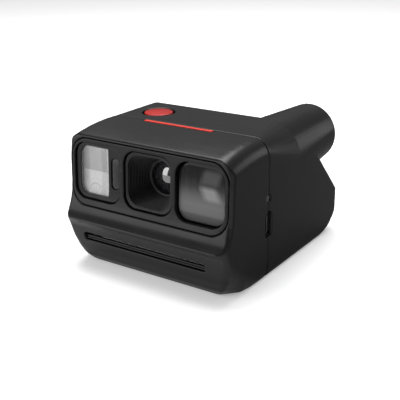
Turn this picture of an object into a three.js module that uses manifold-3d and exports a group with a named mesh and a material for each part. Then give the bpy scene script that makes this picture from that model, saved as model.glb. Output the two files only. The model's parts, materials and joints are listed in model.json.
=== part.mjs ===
// A compact instant camera. Millimetres, +Z up, the front faces -Y, and the origin is the middle
// of the flat underside's box. Each mesh of the exported group is one separate piece.
import * as THREE from "three";
import { mergeVertices } from "three/addons/utils/BufferGeometryUtils.js";
import Module from "manifold-3d";

const wasm = await Module();
wasm.setup();

// ---------------------------------------------------------------- driving dimensions

const LENGTH = 105; // along Y, front to back
const WIDTH = 83.9; // along X
const HEIGHT = 61.5; // along Z, to the flat top
const WALL = 2; // moulded wall of both shells
const GAP = 0.3; // air between neighbouring pieces
const FRONT_Y = -LENGTH / 2;
const REAR_Y = LENGTH / 2;
const SIDE_X = WIDTH / 2;
const SEAM_Y = -17.8; // parting line of the two shells

// top of the body: it rises from the front edge to the seam, runs flat, then falls at the back
const TOP_EDGE_Y = -42.7;
const TOP_RISE = 1.9 / 24.5;
const TOP_BULGE = 0.8; // the rising part is this much fuller than a straight line
const SLOPE_START_Y = 11.1;
const SLOPE_END = { y: 49.2, z: 22.4 };
const SLOPE_FALL = (HEIGHT - SLOPE_END.z) / (SLOPE_END.y - SLOPE_START_Y);
const SLOPE_ANGLE = Math.atan(SLOPE_FALL);
const TOP_RADIUS = { left: 6.5, right: 7.5 };
const UNDER = { wide: 1.8, tall: 6.5 }; // elliptical edge between a side and the underside
const CHIN_RADIUS = 16;
const REAR_CORNER = 4.5;

// upright front corners, from the chin up: the face's place and the corner's radius at each level
const FRONT_CORNERS = [
  { z: -5, face: -40, radius: 9 },
  { z: 0, face: -42.3, radius: 8 },
  { z: 3, face: -44.9, radius: 7 },
  { z: 7.5, face: -47, radius: 6 },
  { z: 12.7, face: -48.5, radius: 3.8 },
  { z: 18.2, face: -49.7, radius: 2.6 },
  { z: 21.4, face: -51.9, radius: 4.4 },
  { z: 22.5, face: -52.6, radius: 5 },
  { z: 23.6, face: -51.9, radius: 4.2 },
  { z: 25.6, face: -49.8, radius: 2.4 },
  { z: 28.7, face: -48.2, radius: 2.2 },
  { z: 32.9, face: -47.1, radius: 2.5 },
  { z: 38, face: -46.5, radius: 2.4 },
  { z: 48, face: -46, radius: 2.4 },
  { z: 57.6, face: -45.2, radius: 3.4 },
  { z: 80, face: -43, radius: 6 },
];

// viewfinder tube: it narrows from its root to its end, tangent to the top and to the +X side
const TUBE = { radius: 13.6, root: 17, bore: 11.2, end: 46.5, lip: 1 };
const TUBE_SIDES = 56;
const TUBE_X = SIDE_X - TUBE.radius;
const TUBE_Z = HEIGHT - TUBE.radius;

// front panel and its three openings
const PANEL = { x0: -40, x1: 40, z0: 28.4, z1: 57.6, radius: 8, thick: 2.2 };
const PANEL_LEDGE = 1.2; // the shell reaches this far in behind the panel's edge
const OPENING_Z = { z0: 31, z1: 56 };
const OPENING_RADIUS = 6;
const FLASH_OPENING = { x0: -38.6, x1: -13.3, ...OPENING_Z };
const LENS_OPENING = { x0: -11.6, x1: 13.4, ...OPENING_Z };
const FINDER_OPENING = { x0: 14.9, x1: 38.5, ...OPENING_Z };
const RECESS = 1; // the flash and lens modules sit this far behind the panel's face
const FINDER_RECESS = 1.9;

// taking lens
const LENS_X = (LENS_OPENING.x0 + LENS_OPENING.x1) / 2;
const LENS_Z = 42.2;
const FUNNEL_END_Y = -33.2;
const FUNNEL_STEPS = 6;
const FUNNEL_BORE = 8.8;

// film chamber, door and rollers
const CHAMBER = { x: 31.5, y0: -32.9, y1: 38.4, z0: 2.6, z1: 17, wall: 1.6 };
const DOOR = { x: 32.5, y1: 37.6, thick: 1.8, pinY: -36.2, pinZ: 2.6, knuckle: 2.6, pin: 1 };
const SLOT = { x0: -33.3, x1: 30.5, z0: 11.9, z1: 15.7 };
const ROLLER = { radius: 2.6, shaft: 1, y: -40.4, x0: -28.9, x1: 27.1 };
const GEAR_MODULE = 0.54;
const ROLLER_TEETH = 10;
const IDLER_TEETH = 15;
const PINION_TEETH = 10;
const ROLLER_PITCH = (GEAR_MODULE * ROLLER_TEETH) / 2;
const IDLER_PITCH = (GEAR_MODULE * IDLER_TEETH) / 2;
const PINION_PITCH = (GEAR_MODULE * PINION_TEETH) / 2;
const NIP_Z = 13.8;
const UPPER_Z = NIP_Z + ROLLER_PITCH;
const LOWER_Z = NIP_Z - ROLLER_PITCH;
const IDLER_ANGLE = Math.PI / 4;
const IDLER_Y = ROLLER.y + (ROLLER_PITCH + IDLER_PITCH) * Math.cos(IDLER_ANGLE);
const IDLER_Z = UPPER_Z + (ROLLER_PITCH + IDLER_PITCH) * Math.sin(IDLER_ANGLE);
const MOTOR_ANGLE = Math.asin(0.6);
const MOTOR_Y = IDLER_Y + (IDLER_PITCH + PINION_PITCH) * Math.cos(MOTOR_ANGLE);
const MOTOR_Z = IDLER_Z + (IDLER_PITCH + PINION_PITCH) * Math.sin(MOTOR_ANGLE);
const GEAR_X = { x0: -33.9, x1: -30.9 };

// controls
const SHUTTER = { x: -24, y: -4, hole: 7.5, cap: 6.6, dome: 0.5 };
const REAR_BUTTON = { radius: 4, hole: 4.4, along: 14 };
const POWER_X = -27;
const FLASH_BUTTON_X = -13.5;
const STRIP = { x0: -20, x1: 15.5, y0: -20.2, y1: -18.4 };
const COUNTER = { x0: -3.5, x1: 8.5, from: 9, to: 18 };
const PORT = { y: -17.3, z: 24.3, wide: 5, tall: 12 };
const LED = { y: -17.4, z: 36, radius: 1.75 };
const LATCH = { y0: 20, y1: 27, z0: 7.5, z1: 12.5, travel: 3 };

// ---------------------------------------------------------------- solids

const solid = (geometry) => {
  const bare = geometry.clone();
  bare.deleteAttribute("normal");
  bare.deleteAttribute("uv");
  const merged = mergeVertices(bare);
  const shape = { numProp: 3, vertProperties: merged.attributes.position.array };
  const triVerts = new Uint32Array(merged.index.array);
  const made = new wasm.Manifold(new wasm.Mesh({ ...shape, triVerts }));
  if (made.volume() > 0) return made;
  return new wasm.Manifold(new wasm.Mesh({ ...shape, triVerts: triVerts.slice().reverse() }));
};

const geometryOf = (made) => {
  const mesh = made.getMesh();
  const geometry = new THREE.BufferGeometry();
  geometry.setAttribute("position", new THREE.BufferAttribute(mesh.vertProperties, 3));
  geometry.setIndex(new THREE.BufferAttribute(mesh.triVerts, 1));
  const flat = geometry.toNonIndexed();
  flat.computeVertexNormals();
  return flat;
};

const cut = (base, ...tools) => tools.reduce((left, tool) => left.subtract(tool), base);
const join = (first, ...others) => others.reduce((sum, other) => sum.add(other), first);

const span = (x0, x1, y0, y1, z0, z1) =>
  solid(
    new THREE.BoxGeometry(x1 - x0, y1 - y0, z1 - z0).translate(
      (x0 + x1) / 2,
      (y0 + y1) / 2,
      (z0 + z1) / 2,
    ),
  );

// An outline drawn in (y, z) and pushed along X, or drawn in (x, z) and pushed along Y.
const FROM_YZ = new THREE.Matrix4().set(0, 0, 1, 0, 1, 0, 0, 0, 0, 1, 0, 0, 0, 0, 0, 1);

const extrude = (shape, depth, curveSegments) =>
  new THREE.ExtrudeGeometry(shape, { depth, bevelEnabled: false, steps: 1, curveSegments });

const prismX = (shape, x0, x1, segments = 6) =>
  solid(extrude(shape, x1 - x0, segments).applyMatrix4(FROM_YZ).translate(x0, 0, 0));

const prismY = (shape, y0, y1, segments = 6) =>
  solid(extrude(shape, y1 - y0, segments).rotateX(Math.PI / 2).translate(0, y1, 0));

const prismZ = (shape, z0, z1, segments = 6) =>
  solid(extrude(shape, z1 - z0, segments).translate(0, 0, z0));

const polygon = (...points) => new THREE.Shape(points.map(([a, b]) => new THREE.Vector2(a, b)));

const roundedRect = (a0, a1, b0, b1, radius) => {
  const shape = new THREE.Shape();
  shape.moveTo(a0 + radius, b0);
  shape.absarc(a1 - radius, b0 + radius, radius, -Math.PI / 2, 0);
  shape.absarc(a1 - radius, b1 - radius, radius, 0, Math.PI / 2);
  shape.absarc(a0 + radius, b1 - radius, radius, Math.PI / 2, Math.PI);
  shape.absarc(a0 + radius, b0 + radius, radius, Math.PI, 1.5 * Math.PI);
  return shape;
};

const inset = ({ x0, x1, z0, z1 }, by, radius) =>
  roundedRect(x0 + by, x1 - by, z0 + by, z1 - by, radius - by);

// A turned piece: the profile is [radius, place along the axis] pairs.
const AXIS_TURN = {
  x: (geometry) => geometry.rotateZ(-Math.PI / 2),
  y: (geometry) => geometry,
  z: (geometry) => geometry.rotateX(Math.PI / 2),
};

const turned = (axis, profile, x, y, z, segments = 16) => {
  const points = profile.map(([radius, along]) => new THREE.Vector2(radius, along));
  const geometry = new THREE.LatheGeometry(points, segments);
  return solid(AXIS_TURN[axis](geometry).translate(x, y, z));
};

const disc = (axis, radius, from, to, x, y, z, segments = 16) =>
  turned(axis, [[0, from], [radius, from], [radius, to], [0, to]], x, y, z, segments);

const ring = (axis, inner, outer, from, to, x, y, z, segments = 16) =>
  turned(
    axis,
    [[inner, from], [outer, from], [outer, to], [inner, to], [inner, from]],
    x, y, z,
    segments,
  );

// ---------------------------------------------------------------- body form

const topAt = (y) => {
  if (y < SEAM_Y) {
    const share = (SEAM_Y - y) / (SEAM_Y - TOP_EDGE_Y);
    return HEIGHT + (y - SEAM_Y) * TOP_RISE + 4 * TOP_BULGE * share * (1 - share);
  }
  if (y > SLOPE_START_Y) return HEIGHT - (y - SLOPE_START_Y) * SLOPE_FALL;
  return HEIGHT;
};

// A ring of points round a rectangle whose corners have their own radii, round or elliptical.
const cornerRing = (corners, place) =>
  corners.flatMap(({ a, b, radius, tall = radius, from, steps }) =>
    Array.from({ length: steps + 1 }, (_, step) => {
      const angle = from + (step / steps) * (Math.PI / 2);
      return place(a + radius * Math.cos(angle), b + tall * Math.sin(angle));
    }),
  );

// One upright cross-section of the body, across X.
const sectionRing = ({ y, under, left, right }, thinner) => {
  const side = SIDE_X - thinner;
  const top = topAt(y) - thinner * (y > SLOPE_START_Y ? SLOPE_THICKER : 1);
  const low = { radius: under.wide - thinner, tall: under.tall - thinner, steps: 6 };
  const highRight = { radius: right - thinner, steps: 9 };
  const highLeft = { radius: left - thinner, steps: 9 };
  const corners = [
    { ...low, a: side - low.radius, b: under.tall, from: -Math.PI / 2 },
    { ...highRight, a: side - highRight.radius, b: top - highRight.radius, from: 0 },
    { ...highLeft, a: highLeft.radius - side, b: top - highLeft.radius, from: Math.PI / 2 },
    { ...low, a: low.radius - side, b: under.tall, from: Math.PI },
  ];
  return cornerRing(corners, (x, z) => [x, y, z]);
};

const INNER_CORNER = 0.6; // the least radius of a corner inside the walls

// One level cross-section of the upright corners' form.
const planRing = ({ z, face, radius }, thinner) => {
  const side = SIDE_X - thinner;
  const front = Math.max(radius - thinner, INNER_CORNER);
  const rear = REAR_CORNER - thinner;
  const corners = [
    { a: side - front, b: face + thinner + front, radius: front, from: -Math.PI / 2, steps: 8 },
    { a: side - rear, b: REAR_Y - REAR_CORNER, radius: rear, from: 0, steps: 6 },
    { a: rear - side, b: REAR_Y - REAR_CORNER, radius: rear, from: Math.PI / 2, steps: 6 },
    { a: front - side, b: face + thinner + front, radius: front, from: Math.PI, steps: 8 },
  ];
  return cornerRing(corners, (x, y) => [x, y, z]);
};

const loft = (rings) => {
  const count = rings[0].length;
  const positions = rings.flat(2);
  const index = [];
  for (let i = 0; i + 1 < rings.length; i += 1) {
    for (let k = 0; k < count; k += 1) {
      const a = i * count + k;
      const b = i * count + ((k + 1) % count);
      index.push(a, b, a + count, b, b + count, a + count);
    }
  }
  const last = (rings.length - 1) * count;
  for (let k = 1; k + 1 < count; k += 1) {
    index.push(0, k + 1, k, last, last + k, last + k + 1);
  }
  const geometry = new THREE.BufferGeometry();
  geometry.setAttribute("position", new THREE.Float32BufferAttribute(positions, 3));
  geometry.setIndex(index);
  return solid(geometry);
};

const SLOPE_THICKER = 1.3; // the sloping wall is thicker when measured upright
const SLOPE_RADIUS = 2.8;

const SECTIONS = [
  { y: FRONT_Y - 1, under: { wide: CHIN_RADIUS, tall: CHIN_RADIUS }, ...TOP_RADIUS },
  { y: -46, under: { wide: CHIN_RADIUS, tall: CHIN_RADIUS }, ...TOP_RADIUS },
  { y: -41, under: { wide: 9, tall: 12 }, ...TOP_RADIUS },
  { y: -36, under: { wide: 3.4, tall: 8 }, ...TOP_RADIUS },
  { y: -30, under: { wide: 2, tall: 7 }, ...TOP_RADIUS },
  { y: -24, under: UNDER, ...TOP_RADIUS },
  { y: SEAM_Y, under: UNDER, ...TOP_RADIUS },
  { y: SLOPE_START_Y, under: UNDER, left: TOP_RADIUS.left, right: TUBE.root },
  { y: 28, under: UNDER, left: SLOPE_RADIUS + 1, right: SLOPE_RADIUS },
  { y: REAR_Y + 0.5, under: UNDER, left: SLOPE_RADIUS, right: SLOPE_RADIUS },
];

// The outline seen from the side, open well above the top, which the cross-sections close.
const ABOVE = HEIGHT + 9;

const sideOutline = () => {
  const shape = new THREE.Shape();
  shape.moveTo(-42.3, 0);
  shape.lineTo(35, 0);
  shape.bezierCurveTo(44, 2, REAR_Y - 0.8, 9.2, REAR_Y, 16.5);
  shape.quadraticCurveTo(REAR_Y, 18.2, 50.4, topAt(50.4));
  shape.lineTo(REAR_Y + 8, 30);
  shape.lineTo(REAR_Y + 8, ABOVE);
  shape.lineTo(-30, ABOVE);
  shape.lineTo(TOP_EDGE_Y, topAt(TOP_EDGE_Y));
  shape.quadraticCurveTo(-44.9, 59.4, -45.1, 57.6);
  shape.quadraticCurveTo(-46, 48, -46.4, 38);
  shape.bezierCurveTo(-46.9, 30.5, -48.6, 25.6, -51.8, 23.4);
  shape.quadraticCurveTo(-53.2, 22.5, -51.8, 21.6);
  shape.quadraticCurveTo(-50.4, 20.5, -49.5, 18.2);
  shape.bezierCurveTo(-48.4, 10.8, -46.2, 3, -42.3, 0);
  return shape;
};

const cavityOutline = () => {
  const shape = new THREE.Shape();
  shape.moveTo(-40.5, WALL);
  shape.lineTo(36, WALL);
  shape.bezierCurveTo(44, 3.2, 50.5, 9, 50.5, 16.2);
  shape.lineTo(50.5, 18);
  shape.lineTo(58, 28);
  shape.lineTo(58, ABOVE);
  shape.lineTo(-30, ABOVE);
  shape.lineTo(-40.4, 57.4);
  shape.lineTo(-41.6, 55);
  shape.lineTo(-42.5, 38);
  shape.lineTo(-44, 28);
  shape.lineTo(-48.5, 22.8);
  shape.lineTo(-46.6, 17);
  shape.lineTo(-45.2, 9.5);
  return shape;
};

const bodyForm = (outline, thinner) =>
  loft(SECTIONS.map((section) => sectionRing(section, thinner)))
    .intersect(prismX(outline, -SIDE_X - 5, SIDE_X + 5, 8))
    .intersect(loft(FRONT_CORNERS.map((corner) => planRing(corner, thinner))));

const BODY = bodyForm(sideOutline(), 0);
const CAVITY = bodyForm(cavityOutline(), WALL);

// The layer of the body's front between two depths behind its face, inside an outline in (x, z).
const frontSkin = (outline, from, to) =>
  prismY(outline, FRONT_Y - 5, -30)
    .intersect(BODY.translate(0, from, 0))
    .subtract(BODY.translate(0, to, 0));

const pillYZ = (y, z, wide, tall) =>
  roundedRect(y - wide / 2, y + wide / 2, z - tall / 2, z + tall / 2, wide / 2 - 0.01);

const wideLimit = SIDE_X + 5;

// ---------------------------------------------------------------- the group

const camera = new THREE.Group();

const plastic = (color, roughness = 0.55) =>
  new THREE.MeshStandardMaterial({ color, roughness, metalness: 0 });
const metal = (color, roughness = 0.3) =>
  new THREE.MeshStandardMaterial({ color, roughness, metalness: 1 });

const SHELL_BLACK = () => plastic(0x242424, 0.6);
const PANEL_BLACK = () => plastic(0x1d1d1d, 0.5);
const INNER_BLACK = () => plastic(0x141414, 0.7);
const GLASS = () => plastic(0xbfc6cc, 0.05);
const STEEL = () => metal(0xb5b7ba);

const add = (name, made, material, parent = camera) => {
  const mesh = new THREE.Mesh(geometryOf(made), material);
  mesh.name = name;
  parent.add(mesh);
  return mesh;
};

// ---------------------------------------------------------------- shells, panel and trim

const seamSide = (front) =>
  front
    ? span(-wideLimit, wideLimit, FRONT_Y - 5, SEAM_Y - 0.15, -5, ABOVE)
    : span(-wideLimit, wideLimit, SEAM_Y + 0.15, REAR_Y + 5, -5, ABOVE);

const doorway = () =>
  join(
    span(-DOOR.x - GAP, DOOR.x + GAP, DOOR.pinY, DOOR.y1 + GAP, -1, WALL + 1),
    span(-DOOR.x - GAP, DOOR.x + GAP, DOOR.pinY - DOOR.knuckle - GAP, DOOR.pinY + 1, -1, 5.6),
  );

const hingePin = (clearance, longer) => {
  const end = DOOR.x + 1.6 + longer;
  return disc("x", DOOR.pin + clearance, -end, end, 0, DOOR.pinY, DOOR.pinZ, 24);
};

const portHole = () => prismX(pillYZ(PORT.y, PORT.z, PORT.wide, PORT.tall), 30, wideLimit, 6);
const ledHole = () => disc("x", LED.radius, 30, wideLimit, 0, LED.y, LED.z, 16);

const buildFrontShell = () => {
  const seat = frontSkin(inset(PANEL, -GAP, PANEL.radius), -5, PANEL.thick + GAP);
  const throughPanel = prismY(inset(PANEL, PANEL_LEDGE, PANEL.radius), FRONT_Y - 5, -30);
  const slot = prismY(roundedRect(SLOT.x0, SLOT.x1, SLOT.z0, SLOT.z1, 1.2), FRONT_Y - 5, -42, 3);
  const { x0, x1, y0, y1 } = STRIP;
  const stripSeat = span(x0 - GAP, x1 + GAP, y0 - GAP, y1 + GAP, topAt(SEAM_Y) - 1.2, ABOVE);
  const shell = BODY.intersect(seamSide(true));
  add(
    "front_shell",
    cut(
      shell,
      CAVITY,
      seat,
      throughPanel,
      slot,
      stripSeat,
      doorway(),
      hingePin(0.1, 0.4),
      portHole(),
      ledHole(),
    ),
    SHELL_BLACK(),
  );
};

const buildFrontPanel = () => {
  const holes = [FLASH_OPENING, LENS_OPENING, FINDER_OPENING].map((opening) =>
    prismY(inset(opening, 0, OPENING_RADIUS), FRONT_Y - 5, -30),
  );
  add("front_panel", cut(frontSkin(inset(PANEL, 0, PANEL.radius), 0, PANEL.thick), ...holes),
    PANEL_BLACK());
};

const slopePlace = (along, depth) => ({
  y: SLOPE_START_Y + along * Math.cos(SLOPE_ANGLE) - depth * Math.sin(SLOPE_ANGLE),
  z: HEIGHT - along * Math.sin(SLOPE_ANGLE) - depth * Math.cos(SLOPE_ANGLE),
});

// Turns a piece built on the XY plane, facing +Z, onto the back slope at a distance down it.
const onSlope = (made, x, along, depth = 0) => {
  const { y, z } = slopePlace(along, depth);
  return made.rotate([-THREE.MathUtils.radToDeg(SLOPE_ANGLE), 0, 0]).translate([x, y, z]);
};

const counterPlate = (grow, z0, z1) => {
  const half = (COUNTER.x1 - COUNTER.x0) / 2 + grow;
  const reach = (COUNTER.to - COUNTER.from) / 2 + grow;
  return onSlope(
    prismZ(roundedRect(-half, half, -reach, reach, 1.5), z0, z1, 4),
    (COUNTER.x0 + COUNTER.x1) / 2,
    (COUNTER.from + COUNTER.to) / 2,
  );
};

const latchSlot = () => {
  const outline = roundedRect(
    LATCH.y0 - GAP, LATCH.y1 + LATCH.travel + GAP, LATCH.z0 - GAP, LATCH.z1 + GAP, 1.5,
  );
  return prismX(outline, -wideLimit, -35, 4);
};

// The rounded mouth of the tube steps in over its last stretch.
const tubeForm = () => {
  const stations = [
    { y: 0, radius: TUBE.root, step: 0 },
    { y: SLOPE_START_Y, radius: TUBE.root, step: 0 },
    { y: TUBE.end - TUBE.lip, radius: TUBE.radius, step: 0 },
    { y: TUBE.end - TUBE.lip * 0.3, radius: TUBE.radius, step: TUBE.lip * 0.3 },
    { y: TUBE.end, radius: TUBE.radius, step: TUBE.lip },
  ];
  return loft(
    stations.map(({ y, radius, step }) =>
      Array.from({ length: TUBE_SIDES }, (_, i) => {
        const angle = (2 * Math.PI * i) / TUBE_SIDES;
        const reach = radius - step;
        return [SIDE_X - radius + reach * Math.cos(angle), y,
          HEIGHT - radius + reach * Math.sin(angle)];
      }),
    ),
  );
};

const buildRearShell = () => {
  const shell = join(BODY, tubeForm()).intersect(seamSide(false));
  const shutterHole = disc("z", SHUTTER.hole, HEIGHT - 6, HEIGHT + 5, SHUTTER.x, SHUTTER.y, 0, 32);
  const slopeHole = (x) =>
    onSlope(disc("z", REAR_BUTTON.hole, -6, 3, 0, 0, 0, 24), x, REAR_BUTTON.along);
  add(
    "rear_shell",
    cut(
      shell,
      CAVITY,
      disc("y", TUBE.bore, SLOPE_START_Y - 6, TUBE.end + 5, TUBE_X, 0, TUBE_Z, 40),
      shutterHole,
      slopeHole(POWER_X),
      slopeHole(FLASH_BUTTON_X),
      counterPlate(GAP, -6, 3),
      latchSlot(),
      doorway(),
      portHole(),
      ledHole(),
    ),
    SHELL_BLACK(),
  );
};

const buildTrim = () => {
  const { x0, x1, y0, y1 } = STRIP;
  add("accent_strip", span(x0, x1, y0, y1, topAt(SEAM_Y) - 0.9, topAt(y0) - 0.05),
    plastic(0xc8321f, 0.4));
  add("counter_window", counterPlate(0, -1.2, -0.2), plastic(0x15181b, 0.08));
  add("counter_display", counterPlate(-0.6, -2.6, -1.6), plastic(0x2a2f33, 0.3));
};

// ---------------------------------------------------------------- flash

const FLASH_WINDOW = { x0: -35.8, x1: -20.5, z0: 33, z1: 54.3 };
const SENSOR = { x: -16.9, z: 44, wide: 4.2, tall: 13.7 };

const flashWindowShape = (grow) => {
  const shape = new THREE.Shape();
  const { x0, x1, z0, z1 } = FLASH_WINDOW;
  const radius = 4 + grow;
  shape.moveTo(x0 - grow + radius, z0 - grow);
  shape.lineTo(x1 + grow, z0 - grow);
  shape.lineTo(x1 + grow, z1 + grow);
  shape.absarc(x0 - grow + radius, z1 + grow - radius, radius, Math.PI / 2, Math.PI);
  shape.absarc(x0 - grow + radius, z0 - grow + radius, radius, Math.PI, 1.5 * Math.PI);
  return shape;
};

const sensorShape = (grow) =>
  roundedRect(
    SENSOR.x - SENSOR.wide / 2 - grow,
    SENSOR.x + SENSOR.wide / 2 + grow,
    SENSOR.z - SENSOR.tall / 2 - grow,
    SENSOR.z + SENSOR.tall / 2 + grow,
    SENSOR.wide / 2 + grow - 0.05,
  );

const buildFlash = () => {
  const frame = frontSkin(inset(FLASH_OPENING, GAP, OPENING_RADIUS), RECESS, RECESS + 1.8);
  add(
    "flash_bezel",
    cut(frame, prismY(flashWindowShape(0), -60, -30), prismY(sensorShape(0), -60, -30)),
    PANEL_BLACK(),
  );
  add("flash_window", frontSkin(flashWindowShape(-GAP / 2), RECESS + 0.1, RECESS + 1.4), GLASS());
  add("light_sensor_window", frontSkin(sensorShape(-GAP / 2), RECESS + 0.6, RECESS + 1.6),
    plastic(0x0a0a0b, 0.1));
  const { x0, x1, z0, z1 } = FLASH_WINDOW;
  const middle = (z0 + z1) / 2;
  const block = span(x0 - 1, x1 + 1, -41.6, -33.5, z0 - 1, z1 + 1).intersect(
    prismY(inset(FLASH_OPENING, 1.5, OPENING_RADIUS), -45, -30),
  );
  const trough = prismX(
    polygon([-46, z0 + 0.5], [-41.6, z0 + 0.5], [-35.2, middle - 2.2], [-35.2, middle + 2.2],
      [-41.6, z1 - 0.5], [-46, z1 - 0.5]),
    x0 + 0.4, x1 - 0.4,
  );
  add("flash_reflector", cut(block, trough), metal(0xd7d9da, 0.15));
  add("flash_tube", disc("x", 1.5, x0 + 0.8, x1 - 0.8, 0, -37.2, middle, 16), GLASS());
  add("flash_capacitor", disc("y", 5.2, -30, -3, -31, 0, 46, 24), plastic(0x1c2b4a, 0.4));
};

// ---------------------------------------------------------------- taking lens and shutter

// The stepped bore: square with round corners at the front, round at the back.
const funnelBore = () => {
  const start = (LENS_OPENING.x1 - LENS_OPENING.x0) / 2 - 1.1;
  const from = -46;
  return Array.from({ length: FUNNEL_STEPS + 1 }, (_, step) => {
    const share = step / FUNNEL_STEPS;
    const half = start + (FUNNEL_BORE - start) * share;
    const radius = Math.min(OPENING_RADIUS - 1 + (half - 5) * share, half - 0.02);
    const lift = (LENS_Z - (OPENING_Z.z0 + OPENING_Z.z1) / 2) * share;
    const middle = (OPENING_Z.z0 + OPENING_Z.z1) / 2 + lift;
    const outline = roundedRect(
      LENS_X - half, LENS_X + half, middle - half, middle + half, radius,
    );
    const end = step === FUNNEL_STEPS ? -30 : from + (FUNNEL_END_Y - from) * ((step + 1) / FUNNEL_STEPS);
    return prismY(outline, FRONT_Y - 5, end, 6);
  });
};

const lensProfile = (radius, front, back, bulge) => [
  [0, front - bulge], [radius * 0.5, front - bulge * 0.75], [radius * 0.8, front - bulge * 0.36],
  [radius, front], [radius, back], [radius * 0.8, back + bulge * 0.2], [0, back + bulge * 0.5],
];

const buildLens = () => {
  const block = prismY(inset(LENS_OPENING, GAP, OPENING_RADIUS), FRONT_Y, -31.4, 6);
  const housing = block.intersect(BODY.translate(0, RECESS, 0));
  add("lens_baffle", cut(housing, ...funnelBore()), INNER_BLACK());
  add(
    "lens_barrel",
    turned(
      "y",
      [[7.2, -33.3], [8.5, -33.3], [8.5, -31.1], [10.6, -31.1], [10.6, -23.6], [7.2, -23.6],
        [7.2, -33.3]],
      LENS_X, 0, LENS_Z, 28,
    ),
    INNER_BLACK(),
  );
  add("front_lens", turned("y", lensProfile(7, -32.3, -30.4, 2.2), LENS_X, 0, LENS_Z, 28), GLASS());
  add("rear_lens", turned("y", lensProfile(6.9, -26.2, -25, 0.6), LENS_X, 0, LENS_Z, 16), GLASS());
};

const BLADE = { pivotX: 7.5, pivotZ: LENS_Z - 12, thick: 0.5, y: -22.2 };

const buildShutter = () => {
  const plate = cut(
    prismY(roundedRect(LENS_X - 13, LENS_X + 13, LENS_Z - 15, LENS_Z + 11, 3), -23.3, -22.5, 3),
    disc("y", 4, -24, -22, LENS_X, 0, LENS_Z, 20),
  );
  add("shutter_plate", plate, metal(0x2c2c2e, 0.5));
  for (const [name, way, layer] of [["left", -1, 0], ["right", 1, 1]]) {
    const y0 = BLADE.y + layer * (BLADE.thick + GAP);
    const pivot = LENS_X + way * BLADE.pivotX;
    const edge = LENS_X - way;
    const far = LENS_X + way * 5.2;
    const y1 = y0 + BLADE.thick;
    const blade = join(
      span(pivot - 2, pivot + 2, y0, y1, BLADE.pivotZ - 2, LENS_Z - 4),
      span(Math.min(edge, pivot), Math.max(edge, pivot), y0, y1, LENS_Z - 5, LENS_Z - 3),
      span(Math.min(edge, far), Math.max(edge, far), y0, y1, LENS_Z - 5, LENS_Z + 5),
    );
    add("shutter_blade_" + name, cut(blade, disc("y", 0.8, -30, -10, pivot, 0, BLADE.pivotZ, 12)),
      metal(0x1e1e20, 0.5));
    add("blade_pivot_" + name, disc("y", 0.7, -22.2, -20, pivot, 0, BLADE.pivotZ, 12), STEEL());
  }
};

const buildMirror = () => {
  const tilt = new THREE.Group();
  const { y, z } = slopePlace(25, 4.8);
  tilt.position.set(LENS_X, y, z);
  tilt.rotation.x = -SLOPE_ANGLE;
  camera.add(tilt);
  add("mirror_frame", span(-18, 18, -21, 19, -1.6, 0), INNER_BLACK(), tilt);
  add("mirror", span(-17, 17, -20, 18, -3, -1.9), metal(0xe6e8ea, 0.03), tilt);
};

// ---------------------------------------------------------------- viewfinder

const buildViewfinder = () => {
  add("viewfinder_window",
    frontSkin(inset(FINDER_OPENING, GAP, OPENING_RADIUS), FINDER_RECESS, FINDER_RECESS + 1.1), GLASS());
  const hood = prismY(inset(FINDER_OPENING, GAP, OPENING_RADIUS), -44, -36.5);
  const behind = hood.subtract(BODY.intersect(hood).subtract(BODY.translate(0, FINDER_RECESS + 1.4, 0)));
  add("viewfinder_hood", cut(behind, prismY(inset(FINDER_OPENING, 2, OPENING_RADIUS), -60, -38),
    disc("y", 7.6, -60, -30, TUBE_X - 0.8, 0, TUBE_Z - 1.6, 28)), INNER_BLACK());
  add("viewfinder_objective",
    turned("y", lensProfile(6.4, -34.4, -33.2, 0.8), TUBE_X - 0.8, 0, TUBE_Z - 1.6, 16), GLASS());
  add("viewfinder_barrel",
    ring("y", 6.7, 8, -36.2, 36, TUBE_X - 0.8, 0, TUBE_Z - 1.6, 20), INNER_BLACK());
  add("eyepiece_ring",
    turned(
      "y",
      [[6.2, 39.6], [TUBE.bore - GAP, 39.6], [TUBE.bore - GAP, 45.4], [9.6, 45.4], [7.4, 40.6],
        [6.2, 40.6], [6.2, 39.6]],
        TUBE_X, 0, TUBE_Z, 28,
    ),
    plastic(0x161616, 0.5));
  add("eyepiece_lens", turned("y", lensProfile(8.6, 37.4, 38.6, 0.5), TUBE_X, 0, TUBE_Z, 24),
    GLASS());
};

// ---------------------------------------------------------------- controls and sockets

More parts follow.
